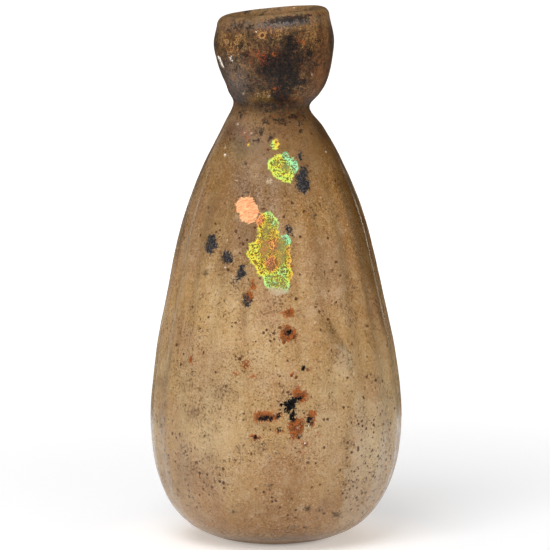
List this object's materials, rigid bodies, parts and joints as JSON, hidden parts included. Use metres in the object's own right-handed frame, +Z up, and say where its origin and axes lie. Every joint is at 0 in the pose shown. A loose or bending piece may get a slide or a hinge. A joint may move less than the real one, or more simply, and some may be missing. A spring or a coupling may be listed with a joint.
{
  "type": "ribbed glass bottle",
  "caption": "Small ancient blown-glass bottle with a pear-shaped, softly ribbed body, a pinched neck and a cup mouth; stands on a flat ring.",
  "frame": {"origin": "on the belly's axis, level with the ring that the bottle stands on", "axes": "+Z up along the bottle, -Y towards the side with the iridescent patches, +X to the right of that side"},
  "size_m": [0.0516, 0.051, 0.1091],
  "materials": {
    "amber_glass": "dulled, weathered translucent amber-brown glass with pits, rust stains and iridescent patches"
  },
  "bodies": {
    "root": {"ribbed_bottle": "amber_glass"}
  },
  "joints": []
}
